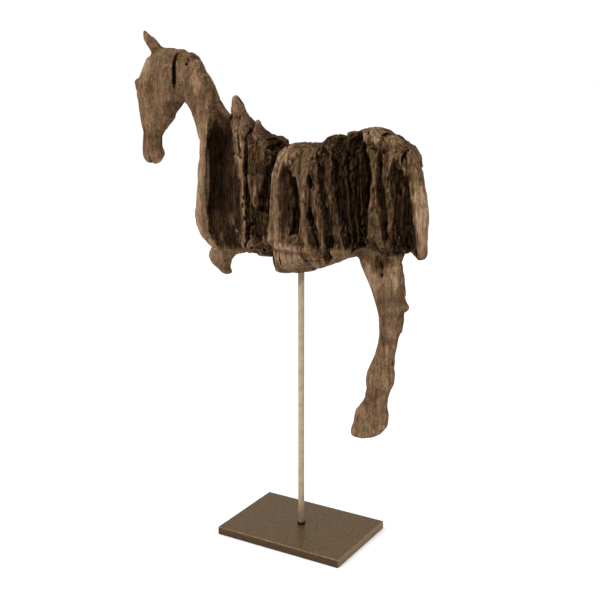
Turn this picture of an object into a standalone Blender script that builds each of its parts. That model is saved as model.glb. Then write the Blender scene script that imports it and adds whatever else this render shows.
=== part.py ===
"""A weathered wooden horse, carried on a steel rod over a steel plate.

The row frame is in metres, with +Z up and the origin at the middle of the plate's underside.
The horse faces -X along the plate's long side, and its near side, the left one, faces -Y.
"""

import math

import bmesh
import bpy
import numpy as np

# Stand
PLATE_LENGTH = 0.200
PLATE_WIDTH = 0.140
PLATE_THICKNESS = 0.012
PLATE_EDGE_BEVEL = 0.0008
ROD_DIAMETER = 0.009
ROD_LENGTH_SHOWN = 0.379
ROD_END_BEVEL = 0.0005
FLOOR_UNDER_ROD = 0.003
RING_WALL = 0.001
RING_HEIGHT = 0.004
FIT_GAP = 0.0003
ROUND_SIDES = 32
SHARP_EDGE = math.radians(60)

# Horse
TRUNK_LENGTH = 0.365
SOCKET_DEPTH = 0.060
HEAD_TURN = math.radians(18)
KEPT_SHARE_OF_FACES = 0.079

# The horse's tables are in 365ths of the trunk's length, which are millimetres at its real size.
# Heights there are above the point of the belly that the rod enters, and x is along the body.
MM = TRUNK_LENGTH / 365
SKIN_CELL = 2.6 * MM
LEVEL_STEP = 4.0
LENGTHWAYS_STEP = 8.0
FORM_SIDES = 24
LENGTHWAYS_SIDES = 32
LUMP_SIDES = 12

# How square the forms' sections are: 2 is an ellipse and 5 nearly a box
TRUNK_SQUARENESS = 2.8
BELLY_SQUARENESS = 2.2
HEAD_SQUARENESS = 2.3
NECK_SQUARENESS = 2.8
LIMB_SQUARENESS = 2.4

BELLY_HEIGHT = PLATE_THICKNESS + ROD_LENGTH_SHOWN
RING_DIAMETER = ROD_DIAMETER + 2 * (FIT_GAP + RING_WALL)

# Trunk: x, height of the belly line, height of the back line, half width
TRUNK = (
    (-168, 46, 150, 14),
    (-150, 26, 205, 22),
    (-130, 19, 212, 30),
    (-100, 19, 210, 37),
    (-60, 21, 194, 43),
    (-30, 16, 184, 47),
    (0, 6, 180, 50),
    (40, 8, 182, 52),
    (80, 26, 196, 50),
    (115, 38, 204, 47),
    (145, 45, 191, 42),
    (160, 46, 178, 34),
    (172, 50, 160, 20),
)
CORE_WIDTH_SHARE = 0.70
CORE_INSET = 8

# Upright forms: height, x, half length along the body, half width
HEAD_POLL_X = -195
HEAD = (
    (300, 13, 19, 12),
    (297, 15, 22, 15),
    (289, 19, 28, 18),
    (278, 22, 34, 20),
    (266, 25, 36, 22),
    (253, 28, 38, 23),
    (236, 29, 38, 23),
    (223, 33, 33, 21),
    (210, 38, 27, 18),
    (201, 40, 24, 16),
    (193, 43, 20, 14),
    (184, 45, 16, 12),
    (173, 48, 13.5, 11),
    (162, 49, 13.8, 11.5),
    (152, 47, 15.6, 13),
    (143, 47.5, 13.5, 12),
    (137, 48.5, 8, 8),
)
NECK = (
    (295, -194, 16, 11),
    (284, -184.5, 20.5, 15),
    (270, -178.3, 21.7, 17),
    (257, -172, 23, 19),
    (243, -166, 25, 20),
    (230, -161, 25.5, 21),
    (217, -151, 26, 23),
    (212, -146.5, 28.5, 23),
    (206, -140.5, 33, 24),
    (197, -132.5, 33, 24),
    (172, -128, 33, 21),
    (119, -127, 37, 20),
    (69, -128, 42, 20),
    (45, -125, 39, 20),
    (30, -120, 32, 18),
    (19, -116, 25, 13),
)
BREAST_RIM = (
    (207, -153, 6, 20),
    (172, -148, 7, 25),
    (130, -148.5, 8.5, 28),
    (90, -152.5, 9, 30),
    (65, -153.5, 10, 30),
    (46, -148.5, 11, 28),
    (30, -137.5, 12, 24),
    (20, -128, 11, 16),
)
EAR = (
    (325, -253, 2.5, 2),
    (317, -248, 6.5, 3.5),
    (310, -242.8, 9.2, 5),
    (303, -236.8, 9.3, 6),
    (296, -230.8, 10.2, 7),
    (287, -224.5, 11.5, 8),
    (274, -220, 9, 8),
)
EAR_Y = -10
HIND_LEG = (
    (60, 122, 30, 18),
    (44, 121, 35, 18),
    (28, 121, 30, 18),
    (12, 125, 27, 17),
    (-4, 130, 24, 16),
    (-20, 134, 22, 14),
    (-44, 137, 17.6, 12),
    (-61, 136.3, 15.6, 11),
    (-78, 133.8, 13.5, 10.5),
    (-95, 130.3, 13.6, 10.5),
    (-113, 126, 16.6, 12),
    (-126, 123.2, 19.6, 13),
    (-139, 121.8, 20, 13),
    (-149, 120.4, 17, 11),
    (-157, 118.3, 16.3, 11),
    (-166, 116.6, 17.4, 12),
    (-177, 112.2, 21.2, 14),
    (-188, 110.7, 24.4, 15.5),
    (-203, 108.7, 24.9, 16),
    (-213, 103.6, 24, 16),
    (-218, 100.8, 21.2, 15),
    (-221, 98.8, 17.5, 13.5),
)
HIND_LEG_Y = 4
FORELEG_STUB = (
    (34, -120, 20, 11),
    (20, -126, 27, 12),
    (10, -134.5, 23.5, 12),
    (2, -139.2, 18.8, 12),
    (-5, -139, 16.5, 11),
    (-9, -137.5, 14, 10),
    (-11, -132.5, 9.5, 9),
    (-17, -131.5, 8.5, 8),
)
FORELEG_STUB_Y = 8
TAIL_SLAB = (
    (174, 158, 5, 8),
    (169, 161, 7, 11),
    (162, 164, 8, 12),
    (150, 167.5, 9, 13.5),
    (128, 171.5, 11, 14),
    (97, 174, 12.6, 15),
    (66, 174.8, 12.9, 13.5),
    (50, 175.5, 12.5, 12),
    (44, 179.5, 8.5, 11),
    (41, 181, 6.5, 9.5),
    (38, 181, 4, 6),
)

# Slats of the trunk: share of the trunk's half width, squareness, then height, x, half thickness
SLATS = {
    "withers_ridge": (0.95, 2.6, ((239, -106, 3), (232, -104.3, 5.8), (224, -101.8, 8.3),
                                  (213, -98.5, 11.5), (204, -94.5, 12.5), (194, -90, 12.5),
                                  (176, -83, 9), (144, -81, 7.5), (110, -80, 8), (77, -80, 8.5),
                                  (44, -79, 6.5), (22, -76, 8))),
    "broken_slab": (1.00, 3.0, ((207, -69, 2.5), (199, -67, 4.5), (192, -63.5, 7.5), (187, -59.5, 11),
                                (183.5, -53, 16), (179.5, -47, 19.5), (175, -44.5, 20), (171, -44, 18),
                                (146, -43, 17), (122, -43, 15), (112, -47, 11), (100, -52, 7),
                                (90, -48, 4), (84, -46, 2))),
    "girth_slab": (0.88, 3.0, ((100, -34, 6), (92, -40, 12), (80, -48, 18), (46, -50, 18),
                               (28, -50, 18), (18, -54, 14))),
    "flap_rim": (0.98, 3.2, ((178, 6, 15), (175, 8, 19), (169, 6, 17), (150, -3, 11), (139, -9, 8.5),
                             (117, -14, 6.5), (85, -13, 8), (52, -14, 10.5), (36, -10, 13),
                             (24, -2, 17), (12, 4, 18), (3, 6, 14))),
    "bone": (1.05, 3.2, ((178, 34, 13), (175, 36, 19), (162, 36, 20), (152, 36, 17), (138, 34, 12),
                         (121, 33, 8), (90, 34, 6.5), (58, 36, 8), (36, 41, 12), (26, 42, 12),
                         (17.5, 41, 9))),
    "bone_second": (1.00, 2.8, ((162, 50, 5), (154, 50, 5.5), (122, 50, 7), (91, 53, 8),
                                (59, 57, 9.5), (40, 57, 9), (24, 55, 7))),
    "flank_slat": (1.00, 2.8, ((190.5, 63, 8), (188, 57, 13), (183, 52, 16), (177, 57, 12), (170, 67, 8),
                               (155, 70, 7), (124, 72, 7), (93, 78, 6.5), (70, 83, 6), (56, 86, 8.5),
                               (42, 85, 9), (35, 83, 8))),
    "dark_slat_front": (0.92, 2.6, ((196, 84, 10), (188, 86, 9), (155, 89, 7.5), (110, 92, 7),
                                    (70, 98, 6), (48, 99, 7))),
    "dark_slat_rear": (0.90, 2.6, ((202, 101, 10), (194, 107, 9), (150, 109, 7), (110, 109, 6.5),
                                   (80, 112, 5), (50, 114, 6))),
    "croup_rib": (1.00, 2.6, ((204, 111, 8), (201, 116, 13), (188, 127, 12), (178, 131, 8),
                              (168, 132, 4.5), (149, 134, 3.8), (128, 134, 4.5), (108, 133, 8),
                              (87, 136, 10.5), (66, 137, 12.5), (45, 138, 14), (38, 138, 12))),
    "thigh_rib": (0.98, 2.4, ((192, 143, 6), (159, 147, 4), (129, 151, 5.5), (110, 155, 4.5),
                              (69, 157, 4), (44, 158, 4.5))),
    "rump_cap": (0.96, 2.1, ((196, 132, 7), (191, 136, 10), (184, 141, 13), (176, 145, 15.5),
                             (168, 149, 15), (160, 154, 11), (152, 158, 7))),
}
FAR_SIDE_SHIFT = 7
FAR_SHIFT_TURN = 2.4
FAR_SHIFT_START = 1.0
LEAST_REACH = 12
REACH_PER_THICKNESS = 1.3

# Belly: x, underside, top, half width
BELLY = (
    (-35, 10, 60, 20),
    (-32, 2, 60, 31),
    (-25, -1, 60, 38),
    (-14, 0, 60, 42),
    (0, 0, 60, 45),
    (12, 4.5, 60, 46),
    (28, 14.5, 60, 46),
    (45, 24.8, 60, 45),
    (70, 33, 66, 41),
    (92, 42, 68, 32),
    (104, 50, 68, 16),
)

# Small lumps: x, y, height, radius
LUMPS = {
    "brow": (-259, -20.5, 252.5, 5.5),
    "brow_low": (-257, -21, 246.5, 5.5),
    "far_ear_stump": (-250, 0, 280, 9),
    "hock_point": (154.6, 2, -29.5, 7.5),
    "girth_lump": (-57, -34, 40, 9),
}

# The long split in the cheek: height, x, half width along the body, depth from the midline
CHEEK_SPLIT = (
    (299, -190, 0.5, 30),
    (289, -193.3, 1.1, 30),
    (280, -195.6, 1.8, 30),
    (264, -195.4, 1.5, 30),
    (251, -195, 1.3, 30),
    (246, -194.6, 0.6, 30),
)
CHEEK_SPLIT_FLOOR = 11
CHEEK_SPLIT_SIDES = 12
SOCKET_MOUTH = 20

HORSE_BROWN = (0.165, 0.105, 0.065)
STEEL_GREY = (0.52, 0.46, 0.38)
PLATE_BROWN = (0.105, 0.085, 0.065)
RING_BLACK = (0.02, 0.015, 0.012)


def clear_scene():
    for old in list(bpy.data.objects):
        bpy.data.objects.remove(old)


def collection(name):
    made = bpy.data.collections.new(name)
    bpy.context.scene.collection.children.link(made)
    return made


def material(name, colour, roughness, metallic):
    made = bpy.data.materials.new(name)
    made.use_nodes = True
    shader = made.node_tree.nodes["Principled BSDF"]
    shader.inputs["Base Color"].default_value = (*colour, 1.0)
    shader.inputs["Roughness"].default_value = roughness
    shader.inputs["Metallic"].default_value = metallic
    made.diffuse_color = (*colour, 1.0)
    return made


def slopes(at, values):
    """Slopes for a smooth curve through the values that never swings past them."""
    steps = np.diff(values) / np.diff(at)
    found = np.zeros(len(values))
    found[0], found[-1] = steps[0], steps[-1]
    before, after = steps[:-1], steps[1:]
    same_way = before * after > 0
    found[1:-1][same_way] = (2 * before * after)[same_way] / (before + after)[same_way]
    return found


def smooth_column(places, at, values):
    """The smooth curve through the values at the given places."""
    lean = slopes(at, values)
    left = np.clip(np.searchsorted(at, places, side="right") - 1, 0, len(at) - 2)
    width = at[left + 1] - at[left]
    t = (places - at[left]) / width
    return (
        values[left] * (1 + 2 * t) * (1 - t) ** 2
        + values[left + 1] * t**2 * (3 - 2 * t)
        + lean[left] * width * t * (1 - t) ** 2
        - lean[left + 1] * width * t**2 * (1 - t)
    )


def smooth_rows(rows, step=LEVEL_STEP):
    """The table's rows, with more between them on smooth curves. The first column is the way along."""
    rows = np.array(rows, float)
    at = np.abs(rows[:, 0] - rows[0, 0])
    places = np.linspace(0, at[-1], max(3, round(at[-1] / step) + 1))
    return np.column_stack([smooth_column(places, at, column) for column in rows.T])


def at_x(rows, x, column):
    """One column of a table at x."""
    rows = np.array(rows, float)
    return float(smooth_column(np.clip([x], rows[0, 0], rows[-1, 0]), rows[:, 0], rows[:, column])[0])


def oval(half_a, half_b, squareness, sides):
    """Points round an oval."""
    turn = np.linspace(0, 2 * math.pi, sides, endpoint=False)
    c, s = np.cos(turn), np.sin(turn)
    power = 2 / squareness
    return np.column_stack(
        [half_a * np.sign(c) * np.abs(c) ** power, half_b * np.sign(s) * np.abs(s) ** power]
    )


def add_loft(mesh, rings):
    """A closed skin over the rings, with a flat cap at each end."""
    loops = [[mesh.verts.new(point) for point in ring] for ring in rings]
    faces = [mesh.faces.new(loops[0][::-1]), mesh.faces.new(loops[-1])]
    for lower, upper in zip(loops, loops[1:]):
        for i in range(len(lower)):
            j = (i + 1) % len(lower)
            faces.append(mesh.faces.new((lower[i], lower[j], upper[j], upper[i])))
    bmesh.ops.recalc_face_normals(mesh, faces=faces)


def add_upright(mesh, rows, squareness=LIMB_SQUARENESS, y=0.0, turn=0.0, pivot_x=0.0, shear=0.0):
    """A form of level sections: rows of height, x, half length, half width.

    With a turn, x is the distance in front of pivot_x, and the sections swing to the near side.
    """
    forward = np.array([-math.cos(turn), -math.sin(turn)])
    across = np.array([math.sin(turn), -math.cos(turn)])
    rings = []
    for height, x, half_length, half_width in smooth_rows(rows):
        middle = np.array([pivot_x, y]) + forward * x if turn else np.array([x, y])
        outline = oval(half_length, half_width, squareness, FORM_SIDES)
        flat = middle + outline[:, :1] * forward + outline[:, 1:] * across
        flat[:, 0] += shear * (flat[:, 1] + half_width)
        rings.append(np.column_stack([flat, np.full(FORM_SIDES, height)]) * MM)
    add_loft(mesh, rings)


def add_lengthways(mesh, rows, squareness, width_share=1.0, inset=0.0):
    """A form of sections across the body: rows of x, underside, top, half width."""
    rings = []
    for x, low, high, half_width in smooth_rows(rows, step=LENGTHWAYS_STEP):
        outline = oval(half_width * width_share, (high - low) / 2 - inset, squareness, LENGTHWAYS_SIDES)
        along = np.full(LENGTHWAYS_SIDES, x)
        middle = (low + high) / 2
        rings.append(np.column_stack([along, outline[:, 0], outline[:, 1] + middle]) * MM)
    add_loft(mesh, rings)


def trunk_half_width(x, height):
    """How far the trunk's outer surface is from the midline."""
    low, high, widest = (at_x(TRUNK, x, column) for column in (1, 2, 3))
    off_middle = min(1.0, abs(2 * height - low - high) / (high - low))
    return widest * (1 - off_middle**TRUNK_SQUARENESS) ** (1 / TRUNK_SQUARENESS)


def add_slat(mesh, number, share, squareness, rows):
    """One upright slat that runs through the trunk from side to side."""
    levels = []
    for height, x, half_thickness in smooth_rows(rows):
        least = min(REACH_PER_THICKNESS * half_thickness, LEAST_REACH)
        reach = max(share * trunk_half_width(x, height), least)
        levels.append((height, x, half_thickness, reach))
    widest = max(level[3] for level in levels)
    far_shift = FAR_SIDE_SHIFT * math.sin(FAR_SHIFT_TURN * number + FAR_SHIFT_START)
    add_upright(mesh, levels, squareness, shear=far_shift / (2 * widest))


def add_lump(mesh, x, y, height, radius):
    made = bmesh.ops.create_uvsphere(
        mesh, u_segments=LUMP_SIDES, v_segments=LUMP_SIDES // 2, radius=radius * MM
    )
    bmesh.ops.translate(mesh, verts=made["verts"], vec=(x * MM, y * MM, height * MM))


def horse_forms():
    """All the overlapping forms of the horse in one mesh, with the origin where the rod enters."""
    mesh = bmesh.new()
    add_lengthways(mesh, TRUNK, LIMB_SQUARENESS, CORE_WIDTH_SHARE, CORE_INSET)
    add_lengthways(mesh, BELLY, BELLY_SQUARENESS)
    add_upright(mesh, HEAD, HEAD_SQUARENESS, turn=HEAD_TURN, pivot_x=HEAD_POLL_X)
    add_upright(mesh, NECK, NECK_SQUARENESS)
    add_upright(mesh, BREAST_RIM)
    add_upright(mesh, EAR, y=EAR_Y)
    add_upright(mesh, HIND_LEG, y=HIND_LEG_Y)
    add_upright(mesh, FORELEG_STUB, y=FORELEG_STUB_Y)
    add_upright(mesh, TAIL_SLAB)
    for number, (share, squareness, rows) in enumerate(SLATS.values()):
        add_slat(mesh, number, share, squareness, rows)
    for lump in LUMPS.values():
        add_lump(mesh, *lump)
    data = bpy.data.meshes.new("horse")
    mesh.to_mesh(data)
    mesh.free()
    return data


def split_cutter(helpers):
    """The blade-shaped cutter of the split in the near cheek."""
    mesh = bmesh.new()
    rings = []
    for height, x, half_width, reach in smooth_rows(CHEEK_SPLIT):
        outline = oval(half_width, (reach - CHEEK_SPLIT_FLOOR) / 2, LIMB_SQUARENESS, CHEEK_SPLIT_SIDES)
        middle = (x, -(reach + CHEEK_SPLIT_FLOOR) / 2)
        rings.append(np.column_stack([outline + middle, np.full(CHEEK_SPLIT_SIDES, height)]) * MM)
    add_loft(mesh, rings)
    data = bpy.data.meshes.new("cheek_split_cutter")
    mesh.to_mesh(data)
    mesh.free()
    return helper(data, helpers, (0, 0, BELLY_HEIGHT))


def helper(data, helpers, location):
    """A cutter, which isn't part of the model."""
    made = bpy.data.objects.new(data.name, data)
    made.location = location
    made.hide_render = True
    made.display_type = "WIRE"
    helpers.objects.link(made)
    return made


def round_bar(name, radius, low, high, place_in):
    """A round bar on the rod's axis, from one height to another."""
    mesh = bmesh.new()
    bmesh.ops.create_cone(
        mesh, cap_ends=True, segments=ROUND_SIDES, radius1=radius, radius2=radius, depth=high - low
    )
    bmesh.ops.translate(mesh, verts=mesh.verts, vec=(0, 0, (low + high) / 2))
    data = bpy.data.meshes.new(name)
    mesh.to_mesh(data)
    mesh.free()
    made = bpy.data.objects.new(name, data)
    place_in.objects.link(made)
    return made


def bore_cutter(name, radius, low, high, helpers):
    made = round_bar(name, radius, low, high, helpers)
    made.hide_render = True
    made.display_type = "WIRE"
    return made


def cut(target, cutter):
    boolean = target.modifiers.new(cutter.name, "BOOLEAN")
    boolean.operation = "DIFFERENCE"
    boolean.solver = "EXACT"
    boolean.object = cutter


def bevel(target, width):
    rounding = target.modifiers.new("edge", "BEVEL")
    rounding.width = width
    rounding.segments = 1
    rounding.limit_method = "ANGLE"
    rounding.angle_limit = SHARP_EDGE


def make_horse(parts, helpers, wood):
    data = horse_forms()
    horse = bpy.data.objects.new("horse", data)
    horse.location = (0, 0, BELLY_HEIGHT)
    parts.objects.link(horse)
    data.materials.append(wood)
    skin = horse.modifiers.new("one_skin", "REMESH")
    skin.mode = "VOXEL"
    skin.voxel_size = SKIN_CELL
    skin.use_smooth_shade = True
    fewer = horse.modifiers.new("fewer_faces", "DECIMATE")
    fewer.ratio = KEPT_SHARE_OF_FACES
    cut(horse, split_cutter(helpers))
    socket = bore_cutter(
        "rod_socket_cutter",
        ROD_DIAMETER / 2 + FIT_GAP,
        BELLY_HEIGHT - SOCKET_MOUTH * MM,
        BELLY_HEIGHT + SOCKET_DEPTH + FIT_GAP,
        helpers,
    )
    cut(horse, socket)
    return horse


def make_plate(parts, helpers, steel):
    mesh = bmesh.new()
    bmesh.ops.create_cube(mesh, size=1)
    bmesh.ops.scale(mesh, verts=mesh.verts, vec=(PLATE_LENGTH, PLATE_WIDTH, PLATE_THICKNESS))
    bmesh.ops.translate(mesh, verts=mesh.verts, vec=(0, 0, PLATE_THICKNESS / 2))
    data = bpy.data.meshes.new("base_plate")
    mesh.to_mesh(data)
    mesh.free()
    data.materials.append(steel)
    plate = bpy.data.objects.new("base_plate", data)
    parts.objects.link(plate)
    bevel(plate, PLATE_EDGE_BEVEL)
    hole = bore_cutter(
        "rod_seat_cutter",
        ROD_DIAMETER / 2 + FIT_GAP,
        FLOOR_UNDER_ROD,
        2 * PLATE_THICKNESS,
        helpers,
    )
    cut(plate, hole)
    return plate


def make_rod(parts, steel):
    foot = FLOOR_UNDER_ROD + FIT_GAP
    rod = round_bar("rod", ROD_DIAMETER / 2, foot, BELLY_HEIGHT + SOCKET_DEPTH, parts)
    rod.data.materials.append(steel)
    bevel(rod, ROD_END_BEVEL)
    return rod


def make_foot_ring(parts, helpers, black):
    low = PLATE_THICKNESS + FIT_GAP
    ring = round_bar("rod_foot_ring", RING_DIAMETER / 2, low, low + RING_HEIGHT, parts)
    ring.data.materials.append(black)
    bore = bore_cutter(
        "ring_bore_cutter",
        ROD_DIAMETER / 2 + FIT_GAP,
        low - RING_HEIGHT,
        low + 2 * RING_HEIGHT,
        helpers,
    )
    cut(ring, bore)
    return ring


def main():
    clear_scene()
    parts = collection("horse_statue")
    helpers = collection("cutters")
    make_horse(parts, helpers, material("weathered_wood", HORSE_BROWN, 0.8, 0.0))
    make_rod(parts, material("bright_steel", STEEL_GREY, 0.35, 1.0))
    make_plate(parts, helpers, material("dark_steel", PLATE_BROWN, 0.45, 0.6))
    make_foot_ring(parts, helpers, material("black_rubber", RING_BLACK, 0.7, 0.0))


main()
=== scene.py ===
"""Looks of the weathered wooden horse that stands on a steel rod over a steel plate.

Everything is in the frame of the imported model: the horse faces -X and its near side faces -Y.
The carving tables are in millimetres.
Their heights are above the point of the belly that the rod enters.
"""

import math

import bmesh
import bpy
import numpy as np
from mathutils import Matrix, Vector


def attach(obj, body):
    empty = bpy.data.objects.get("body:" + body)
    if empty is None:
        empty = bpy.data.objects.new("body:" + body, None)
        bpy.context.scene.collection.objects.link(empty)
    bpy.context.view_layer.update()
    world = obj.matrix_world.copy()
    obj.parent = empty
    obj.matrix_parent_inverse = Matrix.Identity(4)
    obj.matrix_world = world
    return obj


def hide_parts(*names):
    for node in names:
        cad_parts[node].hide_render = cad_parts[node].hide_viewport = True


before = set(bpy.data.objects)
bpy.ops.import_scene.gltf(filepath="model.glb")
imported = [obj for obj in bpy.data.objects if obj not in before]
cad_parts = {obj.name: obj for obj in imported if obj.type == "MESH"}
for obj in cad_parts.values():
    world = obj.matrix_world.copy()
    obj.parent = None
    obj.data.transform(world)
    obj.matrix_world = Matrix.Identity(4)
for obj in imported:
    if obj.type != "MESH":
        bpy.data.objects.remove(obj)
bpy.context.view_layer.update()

MM = 0.001
BELLY_HEIGHT = 391
PLATE_TOP = 0.012
PLATE_HALF_LENGTH = 0.100
PLATE_HALF_WIDTH = 0.070

# Camera of the photograph
CAMERA_PLACE = (0.7212, -1.2170, 0.7161)
CAMERA_TURN = math.radians(30.65)
CAMERA_DIP = math.radians(14.435)
CAMERA_LENS = 63.0
CAMERA_SHIFT = -0.0021

# Mesh of the horse
FIRST_CELL = 1.6 * MM
SECOND_CELL = 0.95 * MM
SOFTENING_ROUNDS = 30
# Smoothing rounds of the crest and swell measures, from which the wood gets a painted highlight where it
# stands out and painted shade in its hollows
CREST_ROUNDS = 3
SWELL_ROUNDS = 24
MOST_TRIANGLES = 195_000

# Trunk with the gaps between its slats filled: x, underside, top, half width
FILLED_TRUNK = (
    (-88, 26, 196, 36),
    (-60, 28, 186, 40),
    (-30, 28, 176, 44),
    (0, 24, 172, 47),
    (40, 32, 174, 49.5),
    (80, 44, 186, 48),
    (112, 52, 194, 45),
    (140, 56, 186, 41),
    (156, 58, 172, 32),
    (166, 62, 160, 22),
)
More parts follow.
